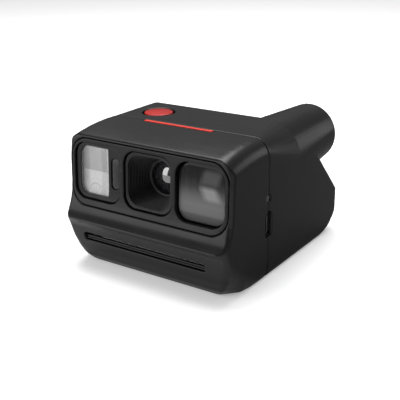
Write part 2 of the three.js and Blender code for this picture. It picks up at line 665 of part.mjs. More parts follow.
const buildControls = () => {
  const { x, y, cap, dome } = SHUTTER;
  add(
    "shutter_button",
    turned(
      "z",
      [[0, -4.6], [1.6, -4.6], [1.6, -2.6], [cap, -2.6], [cap, -0.5], [cap - 0.6, 0],
        [cap * 0.6, dome * 0.7], [0, dome]].map(([radius, up]) => [radius, up + HEIGHT]),
      x, y, 0, 32,
    ),
    plastic(0xcc2d1a, 0.35),
  );
  add("shutter_switch", span(x - 3, x + 3, y - 3, y + 3, 51.8, 55.6), plastic(0x2b2b2b, 0.6));
  for (const [name, at] of [["power_button", POWER_X], ["flash_button", FLASH_BUTTON_X]]) {
    const cap2 = turned(
      "z",
      [[0, -3.8], [1.2, -3.8], [1.2, -2.2], [REAR_BUTTON.radius, -2.2], [REAR_BUTTON.radius, -0.4],
        [REAR_BUTTON.radius - 0.5, -0.05], [0, -0.05]],
      0, 0, 0, 24,
    );
    add(name, onSlope(cap2, at, REAR_BUTTON.along), plastic(0x2f2f30, 0.5));
  }
  const receptacle = prismX(pillYZ(PORT.y, PORT.z, 3.2, 9), SIDE_X - 8, SIDE_X - 1.6, 5);
  const mouth = prismX(pillYZ(PORT.y, PORT.z, 2.5, 8.3), SIDE_X - 7, SIDE_X, 5);
  const tongue = span(SIDE_X - 7.5, SIDE_X - 2.4, PORT.y - 0.35, PORT.y + 0.35, PORT.z - 3.2,
    PORT.z + 3.2);
  add("usb_port", join(cut(receptacle, mouth), tongue), STEEL());
  const surround = prismX(pillYZ(PORT.y, PORT.z, PORT.wide - 0.6, PORT.tall - 0.6), SIDE_X - 2.8,
    SIDE_X - 1, 6);
  add("port_surround", cut(surround, prismX(pillYZ(PORT.y, PORT.z, 3.8, 9.6), 30, 50, 5)),
    PANEL_BLACK());
  add("charging_led", disc("x", LED.radius - GAP, SIDE_X - 5, SIDE_X - 0.6, 0, LED.y, LED.z, 16),
    plastic(0xcfd6d8, 0.2));
};

// ---------------------------------------------------------------- film door and latch

const buildDoor = () => {
  const { x, y1, thick, pinY, pinZ, knuckle, pin } = DOOR;
  const panel = prismZ(roundedRect(-x, x, pinY, y1, 1.5), 0, thick, 3);
  const barrel = disc("x", knuckle, -x, x, 0, pinY, pinZ, 24);
  const clear = span(-x - 1, -x + 4, pinY - 5, pinY + 1.5, thick - 0.01, 8);
  const bore = disc("x", pin + 0.1, -x - 1, x + 1, 0, pinY, pinZ, 24);
  const ribs = [-24, -8, 8, 24].map((at) =>
    span(at - 0.6, at + 0.6, pinY + 4, y1 - 4, thick - 0.5, thick + 0.5),
  );
  add("film_door", cut(join(panel, barrel, ...ribs), bore, clear, clear.mirror([1, 0, 0])),
    SHELL_BLACK());
  add("door_hinge_pin", hingePin(0, 0), STEEL());
};

const buildLatch = () => {
  const { y0, y1, z0, z1 } = LATCH;
  const thumb = prismX(roundedRect(y0, y1, z0, z1, 1.2), -SIDE_X + 0.3, -SIDE_X + WALL + 0.4, 4);
  const plate = span(-SIDE_X + WALL + 0.3, -SIDE_X + WALL + 1.5, y0 - 2, y1 + 2, z0 - 2, z1 + 2);
  const hook = span(-SIDE_X + WALL + 1.2, -DOOR.x - 0.6, y0 + 1, y1 - 1, z0 - 3.6, z0 - 2);
  add("door_latch", join(thumb, plate, hook), plastic(0x303032, 0.5));
};

// ---------------------------------------------------------------- film chamber and drive

const buildChamber = () => {
  const { x, y0, y1, z0, z1, wall } = CHAMBER;
  const box = span(-x, x, y0, y1, z0, z1);
  const inside = span(wall - x, x - wall, y0 + wall, y1 - wall, z0 - 1, z1 - wall);
  const exposure = span(LENS_X - 23, LENS_X + 23, -14, 33, z1 - 5, z1 + 5);
  const exit = span(-28.5, 28.5, y0 - 1, y0 + wall + 1, 12.2, 15.4);
  const pickSlot = span(x - wall - 1, x + 1, 16, 30, 9.5, 12.5);
  add("film_chamber", cut(box, inside, exposure, exit, pickSlot), INNER_BLACK());
  add("pick_arm", join(span(x + 0.5, x + 1.8, -20, 31, 8, 14), span(x - 3, x + 0.8, 26, 28.5, 10, 12)),
    STEEL());
};

// Gear teeth as a ring of points: root, flank and tip on each side of every tooth.
const gearShape = (teeth, turn) => {
  const pitch = (GEAR_MODULE * teeth) / 2;
  const root = pitch - 1.2 * GEAR_MODULE;
  const tip = pitch + 0.8 * GEAR_MODULE;
  const half = Math.PI / teeth;
  const tooth = [[root, -0.62], [pitch, -0.38], [tip, -0.2], [tip, 0.2], [pitch, 0.38], [root, 0.62]];
  const shape = new THREE.Shape();
  for (let i = 0; i < teeth; i += 1) {
    for (const [radius, share] of tooth) {
      const angle = turn + half * (2 * i + share);
      const point = [radius * Math.cos(angle), radius * Math.sin(angle)];
      if (i === 0 && share === tooth[0][1]) shape.moveTo(...point);
      else shape.lineTo(...point);
    }
  }
  return shape;
};

const gear = (name, teeth, turn, y, z, bore) => {
  const { x0, x1 } = GEAR_X;
  const blank = prismX(gearShape(teeth, turn), x0, x1, 1).translate([0, y, z]);
  add(name, cut(blank, disc("x", bore, x0 - 1, x1 + 1, 0, y, z, 16)), plastic(0xd9d6cc, 0.5));
};

// A gear meshes when a tooth of one points at a gap of the other along the line of centres.
const meshTurn = (teeth, towards) => towards + Math.PI + Math.PI / teeth;

const buildGears = () => {
  const rollerBore = ROLLER.shaft + 0.05;
  gear("upper_roller_gear", ROLLER_TEETH, IDLER_ANGLE, ROLLER.y, UPPER_Z, rollerBore);
  const below = -Math.PI / 2;
  const offset = (IDLER_ANGLE - below) % ((2 * Math.PI) / ROLLER_TEETH);
  gear("lower_roller_gear", ROLLER_TEETH, meshTurn(ROLLER_TEETH, below) - offset, ROLLER.y, LOWER_Z,
    rollerBore);
  const idlerTurn = meshTurn(IDLER_TEETH, IDLER_ANGLE);
  gear("idler_gear", IDLER_TEETH, idlerTurn, IDLER_Y, IDLER_Z, 1);
  const slip = ((idlerTurn - MOTOR_ANGLE) * IDLER_TEETH) / PINION_TEETH;
  gear("motor_pinion", PINION_TEETH, meshTurn(PINION_TEETH, MOTOR_ANGLE) - slip, MOTOR_Y, MOTOR_Z,
    0.85);
};

const buildRollers = () => {
  const { radius, shaft, y, x0, x1 } = ROLLER;
  for (const [name, z, material] of [
    ["upper_roller", UPPER_Z, STEEL()],
    ["lower_roller", LOWER_Z, metal(0x8e9093, 0.45)],
  ]) {
    add(
      name,
      turned("x", [[0, GEAR_X.x0 - 0.6], [shaft, GEAR_X.x0 - 0.6], [shaft, x0], [radius, x0],
        [radius, x1], [shaft, x1], [shaft, x1 + 3], [0, x1 + 3]], 0, y, z, 24),
      material,
    );
  }
  const holes = [UPPER_Z, LOWER_Z].map((z) => disc("x", shaft + 0.1, -40, 40, 0, y, z, 24));
  const gearPlate = prismX(
    polygon([-43.4, 11], [-41, 8.2], [-33.4, 8.2], [-33.4, 17.6], [-24, 19], [-24, 31.4],
      [-36, 31.4], [-43.4, 21]),
    x0 - 1.5, x0 - 0.3,
  );
  const motorHole = disc("x", 1.3, -40, 0, 0, MOTOR_Y, MOTOR_Z, 16);
  const idlerHole = disc("x", 0.9, -40, 0, 0, IDLER_Y, IDLER_Z, 16);
  add("roller_bracket_left", cut(gearPlate, ...holes, motorHole, idlerHole), STEEL());
  const rightPlate = prismX(
    polygon([-43.4, 11], [-41, 8.2], [-33.4, 8.2], [-33.4, 20.6], [-43.4, 20.6]),
    x1 + 0.3, x1 + 1.5,
  );
  add("roller_bracket_right", cut(rightPlate, ...holes), STEEL());
  add("idler_axle", disc("x", 0.85, GEAR_X.x0 - 0.5, x0 - 0.3, 0, IDLER_Y, IDLER_Z, 16), STEEL());
  add("drive_motor", disc("x", 5.8, x0 + 0.1, x0 + 16.5, 0, MOTOR_Y, MOTOR_Z, 24), STEEL());
  add("motor_shaft", disc("x", 0.8, GEAR_X.x0 - 0.3, x0 - 0.2, 0, MOTOR_Y, MOTOR_Z, 16), STEEL());
};

// ---------------------------------------------------------------- electronics and fasteners

const buildElectronics = () => {
  add("battery", prismY(roundedRect(-38.5, -19.5, 20, 29, 2), -18, 16, 3), plastic(0x3a5f8a, 0.5));
  add("main_board", span(-38, -36.8, -14, 19, 30.5, 46), plastic(0x1f5a34, 0.5));
  const screwPlaces = [[-34.6, -28], [34.6, -28], [-34.6, 33], [34.6, 33]];
  screwPlaces.forEach(([x, y], number) => {
    add(
      "chassis_screw_" + (number + 1),
      turned("z", [[0, 2.4], [1.9, 2.4], [1.9, 3.8], [1, 3.8], [1, 12], [0, 12.6]], x, y, 0, 16),
      STEEL(),
    );
  });
};

buildFrontShell();
buildRearShell();
buildFrontPanel();
buildTrim();
buildFlash();
buildLens();
buildShutter();
buildMirror();
buildViewfinder();
buildControls();
buildDoor();
buildLatch();
buildChamber();
buildRollers();
buildGears();
buildElectronics();

export default camera;
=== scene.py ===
"""Looks of the compact instant camera: materials, fine pieces, stage, light and camera.

Metres, +Z up, the front faces -Y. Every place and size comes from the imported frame.
"""

import json
import math

import bmesh
import bpy
from mathutils import Matrix, Vector
from mathutils.bvhtree import BVHTree


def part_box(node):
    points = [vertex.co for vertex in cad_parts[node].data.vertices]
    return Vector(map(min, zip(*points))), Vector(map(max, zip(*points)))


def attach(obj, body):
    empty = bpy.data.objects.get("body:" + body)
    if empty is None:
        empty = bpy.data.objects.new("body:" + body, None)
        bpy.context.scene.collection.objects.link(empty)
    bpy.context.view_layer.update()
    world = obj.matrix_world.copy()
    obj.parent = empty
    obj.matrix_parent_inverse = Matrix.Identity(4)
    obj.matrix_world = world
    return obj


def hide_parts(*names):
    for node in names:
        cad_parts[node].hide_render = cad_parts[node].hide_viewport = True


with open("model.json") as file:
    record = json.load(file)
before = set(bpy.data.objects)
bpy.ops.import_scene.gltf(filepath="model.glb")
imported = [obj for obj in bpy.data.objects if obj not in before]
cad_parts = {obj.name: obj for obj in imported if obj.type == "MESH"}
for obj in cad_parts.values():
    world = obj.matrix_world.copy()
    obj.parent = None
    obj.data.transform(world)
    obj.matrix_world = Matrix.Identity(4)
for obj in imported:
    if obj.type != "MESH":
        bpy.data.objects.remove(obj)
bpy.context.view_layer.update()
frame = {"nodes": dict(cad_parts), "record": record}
NODES = frame["nodes"]
MM = 0.001

# ------------------------------------------------------------------ stage: camera, lights, floor

VIEW_AZIMUTH = math.radians(34.37)
VIEW_ELEVATION = math.radians(20.58)
VIEW_ROLL = math.radians(-0.85)
VIEW_DISTANCE = 0.3625
VIEW_AIM = Vector((-0.0045, 0.0, 0.0207))
VIEW_LENS = 69.6
SENSOR_WIDTH = 36
NEAREST_SEEN = 0.01

LIGHTS = (  # name, place, aim, width, height, watts
    ("top_softbox", (-0.14, 0.18, 0.76), (0, 0, 0.03), 0.62, 0.6, 8.0),
    ("front_softbox", (-0.46, -0.66, 0.25), (0, -0.03, 0.04), 0.54, 0.5, 3.0),
    ("side_card", (0.30, 0.34, 0.14), (0.04, 0.05, 0.04), 0.2, 0.2, 0.25),
)
WORLD_SEEN = 1.05
WORLD_RISE = (0.0, 0.9)  # how far up a direction points, at the room's two levels
WORLD_LEVEL = (0.07, 0.6)

FLOOR_REACH = 3.0
FLOOR_Z = -0.00005
FLOOR_FADE = (-0.02, -0.06)  # y behind which, and ahead of which, its gloss level is steady
FLOOR_LEVELS = (  # socket, as seen, as mirrored behind the fade, as mirrored ahead of it
    ("Emission Strength", 0.3, 0.03, 0.4),
    ("Base Color", 0.85, 0.14, 0.6),
)


def link_object(obj):
    bpy.context.scene.collection.objects.link(obj)


def make_camera():
    away = Vector((
        math.sin(VIEW_AZIMUTH) * math.cos(VIEW_ELEVATION),
        -math.cos(VIEW_AZIMUTH) * math.cos(VIEW_ELEVATION),
        math.sin(VIEW_ELEVATION),
    ))
    right = Vector((math.cos(VIEW_AZIMUTH), math.sin(VIEW_AZIMUTH), 0))
    up = away.cross(right)
    rolled_right = right * math.cos(VIEW_ROLL) + up * math.sin(VIEW_ROLL)
    rolled_up = up * math.cos(VIEW_ROLL) - right * math.sin(VIEW_ROLL)
    data = bpy.data.cameras.new("photo_camera")
    data.lens = VIEW_LENS
    data.sensor_width = SENSOR_WIDTH
    data.clip_start = NEAREST_SEEN
    camera = bpy.data.objects.new("photo_camera", data)
    turn = Matrix((rolled_right, rolled_up, away)).transposed().to_4x4()
    camera.matrix_world = Matrix.Translation(VIEW_AIM + away * VIEW_DISTANCE) @ turn
    link_object(camera)
    bpy.context.scene.camera = camera


def area_light(name, place, aim, width, height, power):
    data = bpy.data.lights.new(name, "AREA")
    data.energy = power
    data.shape = "RECTANGLE"
    data.size = width
    data.size_y = height
    lamp = bpy.data.objects.new(name, data)
    direction = Vector(aim) - Vector(place)
    turn = direction.to_track_quat("-Z", "Y").to_matrix().to_4x4()
    lamp.matrix_world = Matrix.Translation(Vector(place)) @ turn
    lamp.visible_camera = False
    link_object(lamp)


def map_range(nodes, from_low=0.0, from_high=1.0, to_low=0.0, to_high=1.0):
    node = nodes.new("ShaderNodeMapRange")
    node.inputs["From Min"].default_value = from_low
    node.inputs["From Max"].default_value = from_high
    node.inputs["To Min"].default_value = to_low
    node.inputs["To Max"].default_value = to_high
    return node


def make_world():
    """White to the camera; to the object, a dim room that brightens overhead."""
    world = bpy.data.worlds.new("studio")
    world.use_nodes = True
    nodes = world.node_tree.nodes
    links = world.node_tree.links
    seen = nodes["Background"]
    seen.inputs["Color"].default_value = (1, 1, 1, 1)
    seen.inputs["Strength"].default_value = WORLD_SEEN
    room = nodes.new("ShaderNodeBackground")
    room.inputs["Color"].default_value = (1, 1, 1, 1)
    direction = nodes.new("ShaderNodeTexCoord").outputs["Generated"]
    split = nodes.new("ShaderNodeSeparateXYZ")
    links.new(direction, split.inputs["Vector"])
    rise = map_range(nodes, *WORLD_RISE, *WORLD_LEVEL)
    links.new(split.outputs["Z"], rise.inputs["Value"])
    links.new(rise.outputs["Result"], room.inputs["Strength"])
    mix = nodes.new("ShaderNodeMixShader")
    links.new(nodes.new("ShaderNodeLightPath").outputs["Is Camera Ray"], mix.inputs["Fac"])
    links.new(room.outputs["Background"], mix.inputs[1])
    links.new(seen.outputs["Background"], mix.inputs[2])
    links.new(mix.outputs["Shader"], nodes["World Output"].inputs["Surface"])
    bpy.context.scene.world = world
    bpy.context.scene.view_settings.view_transform = "Standard"


def floor_material():
    """Pale and even; in the object's gloss it is dim, but for a stretch ahead of the object."""
    material = bpy.data.materials.new("floor_white")
    material.use_nodes = True
    nodes = material.node_tree.nodes
    links = material.node_tree.links
    shader = nodes["Principled BSDF"]
    shader.inputs["Roughness"].default_value = 0.95
    shader.inputs["Specular IOR Level"].default_value = 0.1
    shader.inputs["Emission Color"].default_value = (1, 1, 1, 1)
    mirrored = nodes.new("ShaderNodeLightPath").outputs["Is Glossy Ray"]
    split = nodes.new("ShaderNodeSeparateXYZ")
    links.new(nodes.new("ShaderNodeTexCoord").outputs["Object"], split.inputs["Vector"])
    for socket, plain, behind, ahead in FLOOR_LEVELS:
        place = map_range(nodes, *FLOOR_FADE, behind, ahead)
        level = map_range(nodes, to_low=plain)
        links.new(split.outputs["Y"], place.inputs["Value"])
        links.new(place.outputs["Result"], level.inputs["To Max"])
        links.new(mirrored, level.inputs["Value"])
        links.new(level.outputs["Result"], shader.inputs[socket])
    return material


def make_floor():
    mesh = bpy.data.meshes.new("floor")
    ways = ((-1, -1), (1, -1), (1, 1), (-1, 1))
    corners = [(x * FLOOR_REACH, y * FLOOR_REACH, FLOOR_Z) for x, y in ways]
    mesh.from_pydata(corners, [], [(0, 1, 2, 3)])
    mesh.materials.append(floor_material())
    floor = bpy.data.objects.new("floor", mesh)
    link_object(floor)


# ------------------------------------------------------------------ materials


class Tree:
    """Small helper around one material's node tree."""

    def __init__(self, name):
        self.material = bpy.data.materials.new(name)
        self.material.use_nodes = True
        self.nodes = self.material.node_tree.nodes
        self.links = self.material.node_tree.links
        self.shader = self.nodes["Principled BSDF"]
        self.place = self.nodes.new("ShaderNodeTexCoord").outputs["Object"]

    def put(self, socket, value):
        if isinstance(value, bpy.types.NodeSocket):
            self.links.new(value, socket)
        else:
            socket.default_value = value

    def add(self, kind, **inputs):
        node = self.nodes.new(kind)
        for name, value in inputs.items():
            self.put(node.inputs[name.replace("_", " ")], value)
        return node

    def set(self, **inputs):
        for name, value in inputs.items():
            self.put(self.shader.inputs[name.replace("_", " ")], value)

    def noise(self, scale, detail):
        return self.add("ShaderNodeTexNoise", Vector=self.place, Scale=scale, Detail=detail).outputs["Fac"]

    def remap(self, value, low, high, to_low, to_high):
        node = map_range(self.nodes, low, high, to_low, to_high)
        self.put(node.inputs["Value"], value)
        return node.outputs["Result"]

    def ramp(self, value, stops):
        """Grey levels at places from 0 to 1."""
        node = self.add("ShaderNodeValToRGB", Fac=value)
        marks = node.color_ramp.elements
        while len(marks) < len(stops):
            marks.new(1.0)
        for mark, (place, level) in zip(marks, stops):
            mark.position = place
            mark.color = grey(level)
        return node.outputs["Color"]

    def band(self, value, low, high, soft):
        """One between two places and nothing outside them."""
        rise = self.remap(value, low - soft, low + soft, 0.0, 1.0)
        fall = self.remap(value, high - soft, high + soft, 1.0, 0.0)
        return self.times(rise, fall)

    def math(self, operation, first, second=0.0):
        node = self.nodes.new("ShaderNodeMath")
        node.operation = operation
        self.put(node.inputs[0], first)
        self.put(node.inputs[1], second)
        return node.outputs["Value"]

    def times(self, first, second):
        return self.math("MULTIPLY", first, second)

    def plus(self, first, second):
        return self.math("ADD", first, second)

    def wave(self, value, rate):
        return self.math("SINE", self.times(value, rate))

    def axis(self, letter):
        split = self.add("ShaderNodeSeparateXYZ", Vector=self.place)
        return split.outputs[letter]

    def pointiness(self):
        return self.add("ShaderNodeNewGeometry").outputs["Pointiness"]

    def mix(self, share, first, second):
        node = self.nodes.new("ShaderNodeMix")
        node.data_type = "RGBA"
        self.put(node.inputs["Factor"], share)
        self.put(node.inputs["A"], first)
        self.put(node.inputs["B"], second)
        return node.outputs["Result"]

    def round_edges(self, radius):
        bevel = self.add("ShaderNodeBevel", Radius=radius)
        bevel.samples = 4
        return bevel.outputs["Normal"]

    def bump(self, height, strength, distance, normal=None):
        node = self.add("ShaderNodeBump", Height=height, Strength=strength, Distance=distance)
        if normal is not None:
            self.put(node.inputs["Normal"], normal)
        self.put(self.shader.inputs["Normal"], node.outputs["Normal"])


def opaque(color):
    return (*color, 1)


def grey(level):
    return (level, level, level, 1)


def scaled(color, factor, lift=0.0):
    return opaque(tuple(min(1.0, factor * c + lift) for c in color))


def moulded(name, color, roughness, grain=0.00025, relief=0.35, edge=None, wear_and_highlight=0.5, level=0.5):
    """Moulded plastic: fine spark-eroded grain, slow drift in its gloss, sharp edges painted paler, partly
    as rubbed, worn edges and partly as a painted edge highlight.
    """
    tree = Tree(name)
    normal = tree.round_edges(edge) if edge else None
    drift = tree.noise(45, 4.0)
    fine = tree.noise(0.5 / grain, 3.0)
    shade = tree.mix(tree.remap(drift, 0.3, 0.7, 0.0, 1.0), scaled(color, 0.88), scaled(color, 1.12))
    # sharp edges painted paler: partly worn edges, partly a painted highlight
    worn_and_highlit_edges = tree.remap(tree.pointiness(), 0.53, 0.62, 0.0, wear_and_highlight)
    uneven = tree.plus(drift, tree.times(fine, 0.5))
    tree.set(
        Base_Color=tree.mix(worn_and_highlit_edges, shade, scaled(color, 1.6, 0.012)),
        Roughness=tree.remap(uneven, 0.5, 1.0, roughness - 0.05, roughness + 0.06),
        Specular_IOR_Level=level,
    )
    tree.bump(fine, relief, grain * 0.12, normal)
    return tree.material


def metal(name, color, roughness):
    """Bare metal with fine drawn streaks and a slow tarnish."""
    tree = Tree(name)
    stretch = tree.add("ShaderNodeMapping", Vector=tree.place)
    stretch.inputs["Scale"].default_value = (1.0, 0.08, 1.0)
    lines = tree.add(
        "ShaderNodeTexNoise", Vector=stretch.outputs["Vector"], Scale=1800, Detail=3.0,
    ).outputs["Fac"]
    tarnish = tree.remap(tree.noise(90, 3.0), 0.35, 0.7, 0.0, 1.0)
    tree.set(
        Base_Color=tree.mix(tarnish, opaque(color), scaled(color, 0.75)),
        Metallic=1.0,
        Roughness=tree.remap(lines, 0.3, 0.7, roughness * 0.7, roughness * 1.4),
    )
    tree.bump(lines, 0.15, 0.00002, tree.round_edges(0.0002))
    return tree.material


def clear(name, color, roughness, ior):
    """Clear moulded plastic or glass, with faint flow marks and dust in its gloss."""
    tree = Tree(name)
    tree.set(
        Base_Color=opaque(color),
        Transmission_Weight=1.0,
        IOR=ior,
        Roughness=tree.remap(tree.noise(900, 4.0), 0.55, 0.8, roughness, roughness + 0.06),
    )
    tree.bump(tree.noise(120, 1.0), 0.05, 0.0001)
    return tree.material


def thin_window(name):
    """A thin clear moulded sheet: a faint haze and a hard gloss over whatever lies behind it."""
    tree = Tree(name)
    tree.set(
        Base_Color=opaque((0.4, 0.4, 0.41)),
        Roughness=tree.remap(tree.noise(900, 4.0), 0.5, 0.8, 0.04, 0.12),
        Alpha=tree.remap(tree.noise(70, 2.0), 0.3, 0.7, 0.1, 0.16),
        Coat_Weight=1.0,
    )
    tree.bump(tree.noise(120, 1.0), 0.05, 0.0001)
    return tree.material


def baffle_black():
    """Dull black moulding whose ridges are painted paler, a painted highlight where they would catch a
    little light.
    """
    tree = Tree("baffle_black")
    fine = tree.noise(2500, 3.0)
    # painted highlight: sharp ridges are painted paler than the black body
    painted_ridge_highlight = tree.remap(tree.pointiness(), 0.5, 0.62, 0.0, 1.0)
    tree.set(
        Base_Color=tree.mix(painted_ridge_highlight, grey(0.0025), grey(0.016)),
        Roughness=tree.remap(fine, 0.3, 0.7, 0.42, 0.55),
        Specular_IOR_Level=0.25,
    )
    tree.bump(fine, 0.2, 0.00003)
    return tree.material


def lens_glass():
    """Coated glass over a black barrel: it shows what it mirrors over a body colour lifted to a dim grey,
    a painted reflection.
    """
    tree = Tree("lens_glass")
    drift = tree.noise(120, 2.0)
    # painted reflection: the body colour is a dim grey instead of black
    tree.set(
        Base_Color=tree.mix(drift, opaque((0.018, 0.018, 0.02)), opaque((0.03, 0.03, 0.033))),
        Roughness=tree.remap(tree.noise(900, 4.0), 0.5, 0.8, 0.02, 0.06),
        Specular_IOR_Level=1.0,
        Coat_Weight=1.0,
        Coat_Roughness=0.02,
        Coat_IOR=1.8,
    )
    tree.bump(drift, 0.02, 0.0001)
    return tree.material


def glossy(name, color, roughness, coat):
    """Dark window or coated glass: a hard gloss with faint waviness over a near-black body."""
    tree = Tree(name)
    drift = tree.noise(60, 2.0)
    tree.set(
        Base_Color=tree.mix(drift, scaled(color, 0.8), scaled(color, 1.2)),
        Roughness=tree.remap(tree.noise(800, 4.0), 0.5, 0.8, roughness, roughness + 0.06),
        Specular_IOR_Level=0.4,
        Coat_Weight=coat,
        Coat_Roughness=0.03,
    )
    tree.bump(drift, 0.04, 0.0001)
    return tree.material


def finder_glass():
    """The finder's front element, its reflections painted in: near black at the top, a room's grey
    reflection painted lower down, and two painted reflection patches.
    """
    low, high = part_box("viewfinder_window")
    tree = Tree("finder_glass")
    up = tree.remap(tree.axis("Z"), low[2], high[2], 0.0, 1.0)
    across = tree.remap(tree.axis("X"), low[0], high[0], 0.0, 1.0)
    sideways = tree.add("ShaderNodeCombineXYZ", X=across).outputs["Vector"]
    streaks = tree.add("ShaderNodeTexNoise", Vector=sideways, Scale=14.0).outputs["Fac"]
    sway = tree.times(
        tree.remap(streaks, 0.3, 0.7, -0.08, 0.08),
        tree.remap(up, 0.45, 0.75, 0.0, 1.0),
    )
    # painted reflection: grey lower down, fading to near black at the top
    painted_sheen = tree.ramp(tree.plus(up, sway), [
        (0.0, 0.04), (0.12, 0.07), (0.16, 0.12), (0.3, 0.13),
        (0.45, 0.09), (0.6, 0.03), (0.75, 0.008), (0.95, 0.002),
    ])
    lean_up = tree.math("SUBTRACT", across, tree.times(up, 0.3))
    lean_down = tree.plus(across, tree.times(up, 0.5))
    # two patches of painted reflection, an upper grey one and a brighter lower one
    upper = tree.times(tree.band(up, 0.66, 0.9, 0.05), tree.band(lean_up, 0.27, 0.62, 0.05))
    lower = tree.times(tree.band(up, 0.4, 0.61, 0.04), tree.band(lean_down, 0.77, 1.08, 0.07))
    shade = tree.mix(tree.times(upper, 0.8), painted_sheen, grey(0.07))
    shade = tree.mix(tree.times(lower, 0.9), shade, grey(0.22))
    tree.set(
        Base_Color=shade,
        Roughness=tree.remap(tree.noise(900, 3.0), 0.5, 0.8, 0.05, 0.12),
        Specular_IOR_Level=0.12,
    )
    tree.bump(tree.noise(80, 1.0), 0.03, 0.0001)
    return tree.material


def fan_lines(tree, across, up):
    """Rays and arcs about a point just under the trough, as shares from 0 to 1."""
    out = tree.math("SUBTRACT", across, 0.48)
    rise = tree.plus(up, 0.08)
    swing = tree.math("ARCTAN2", out, rise)
    reach = tree.math("SQRT", tree.plus(tree.times(out, out), tree.times(rise, rise)))
    rays = tree.times(
        tree.remap(tree.wave(swing, 14.0), 0.9, 1.0, 0.0, 1.0),
        tree.remap(reach, 0.3, 0.27, 0.0, 1.0),
    )
    dashes = tree.times(
        tree.band(reach, 0.4, 0.41, 0.006),
        tree.remap(tree.wave(swing, 60.0), 0.0, 0.2, 0.0, 1.0),
    )
    arcs = tree.plus(tree.band(reach, 0.3, 0.312, 0.006), dashes)
    return tree.plus(rays, arcs)


def glowing_painted_trough():
    """Formed reflector, its light painted in: a greyer upper sheet and a brighter lower one as painted
    shade and light, a paler middle and a line near one edge as painted highlights, fine flute stripes and
    a fan of ribs; the whole sheet also glows by emission.
    """
    low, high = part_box("flash_window")
    behind_x, behind_z = 0.9 * MM, 0.5 * MM
    tree = Tree("glowing_painted_trough")
    up = tree.remap(tree.axis("Z"), low[2] - behind_z, high[2] - behind_z, 0.0, 1.0)
    across = tree.remap(tree.axis("X"), low[0] - behind_x, high[0] - behind_x, 0.0, 1.0)
    # painted light: the lower half is painted brighter than the upper half
    lower = tree.remap(up, 0.495, 0.485, 0.0, 1.0)
    # painted highlights: a paler middle band and a bright line near one edge
    painted_middle_highlight = tree.band(across, 0.23, 0.69, 0.01)
    painted_edge_highlight = tree.band(across, 0.9, 0.935, 0.01)
    side = tree.mix(lower, opaque((0.24, 0.24, 0.235)), opaque((0.42, 0.42, 0.415)))
    centre = tree.mix(lower, grey(0.31), grey(0.52))
    sheet = tree.mix(painted_middle_highlight, side, centre)
    sheet = tree.mix(painted_edge_highlight, sheet, opaque((0.5, 0.52, 0.52)))
    fine = tree.wave(across, 260.0)
    sheet = tree.mix(tree.remap(fine, 0.0, 1.0, 0.0, 0.12), sheet, grey(0.12))
    fan = tree.times(fan_lines(tree, across, up), tree.times(painted_middle_highlight, lower))
    final = tree.mix(tree.times(fan, 0.8), sheet, grey(0.1))
    # the painted sheet is also its emission, so the trough glows though it is no lamp
    tree.set(
        Base_Color=final,
        Roughness=tree.remap(tree.noise(700, 3.0), 0.3, 0.7, 0.3, 0.45),
        Emission_Color=final,
        Emission_Strength=0.22,
    )
    tree.bump(fine, 0.1, 0.00005)
    return tree.material


FINISH = {  # one material for each of the record's slots
    "shell": moulded("shell", (0.0056, 0.0056, 0.0058), 0.31, level=0.24, wear_and_highlight=0.15),
    "panel": moulded("panel", (0.004, 0.004, 0.0042), 0.32, grain=0.0002, level=0.2, wear_and_highlight=0.15),
    "inner": moulded("inner", (0.004, 0.004, 0.004), 0.5),
    "accent": moulded("accent", (0.5, 0.02, 0.008), 0.35, edge=0.0001),
    "button_red": moulded(
        "button_red", (0.36, 0.006, 0.003), 0.24, grain=0.00012, relief=0.1, wear_and_highlight=0.1,
    ),
    "button_dark": moulded("button_dark", (0.022, 0.022, 0.023), 0.45, edge=0.0002),
    "clear": thin_window("clear"),
    "smoked": glossy("smoked", (0.001, 0.001, 0.0012), 0.16, coat=0.0),
    "optic": clear("optic", (0.9, 0.93, 0.96), 0.01, 1.55),
    "reflector": metal("reflector", (0.86, 0.87, 0.88), 0.22),
    "mirror": metal("mirror", (0.92, 0.93, 0.94), 0.03),
    "steel": metal("steel", (0.3, 0.305, 0.31), 0.38),
    "blackened": metal("blackened", (0.05, 0.05, 0.052), 0.45),
    "gear": moulded("gear", (0.7, 0.67, 0.6), 0.4, edge=0.0001),
    "board": moulded("board", (0.01, 0.09, 0.03), 0.35, edge=0.0001),
    "cell": moulded("cell", (0.03, 0.09, 0.2), 0.35, edge=0.0005),
    "capacitor": moulded("capacitor", (0.02, 0.03, 0.09), 0.3, edge=0.0004),
    "display": moulded("display", (0.03, 0.033, 0.036), 0.25),
    "led": glossy("led", (0.008, 0.007, 0.006), 0.15, coat=1.0),
    "switch": moulded("switch", (0.02, 0.02, 0.02), 0.5, edge=0.0001),
}

# ------------------------------------------------------------------ CAD nodes

SMOOTH_UNDER = math.radians(32)  # edges that turn by less than this are shaded smooth

REMOULDED = {  # node: voxel of its resampled surface in mm, and smoothing passes
    "front_shell": (0.4, 5),
    "rear_shell": (0.4, 5),
    "front_panel": (0.25, 4),
    "film_door": (0.35, 4),
    "flash_bezel": (0.2, 3),
    "door_latch": (0.2, 3),
    "port_surround": (0.12, 2),
    "eyepiece_ring": (0.25, 3),
}


def remould(node, voxel, passes):
    """Resamples a moulded node and softens it, so that every edge gets its small radius."""
    resample = node.modifiers.new("resample", "REMESH")
    resample.mode = "VOXEL"
    resample.voxel_size = voxel * MM
    resample.use_smooth_shade = True
    soften = node.modifiers.new("soften", "SMOOTH")
    soften.factor = 0.5
    soften.iterations = passes


def smooth_by_angle(obj):
    work = bmesh.new()
    work.from_mesh(obj.data)
    for face in work.faces:
        face.smooth = True
    for edge in work.edges:
        edge.smooth = len(edge.link_faces) == 2 and edge.calc_face_angle(0) < SMOOTH_UNDER
    work.to_mesh(obj.data)
    work.free()


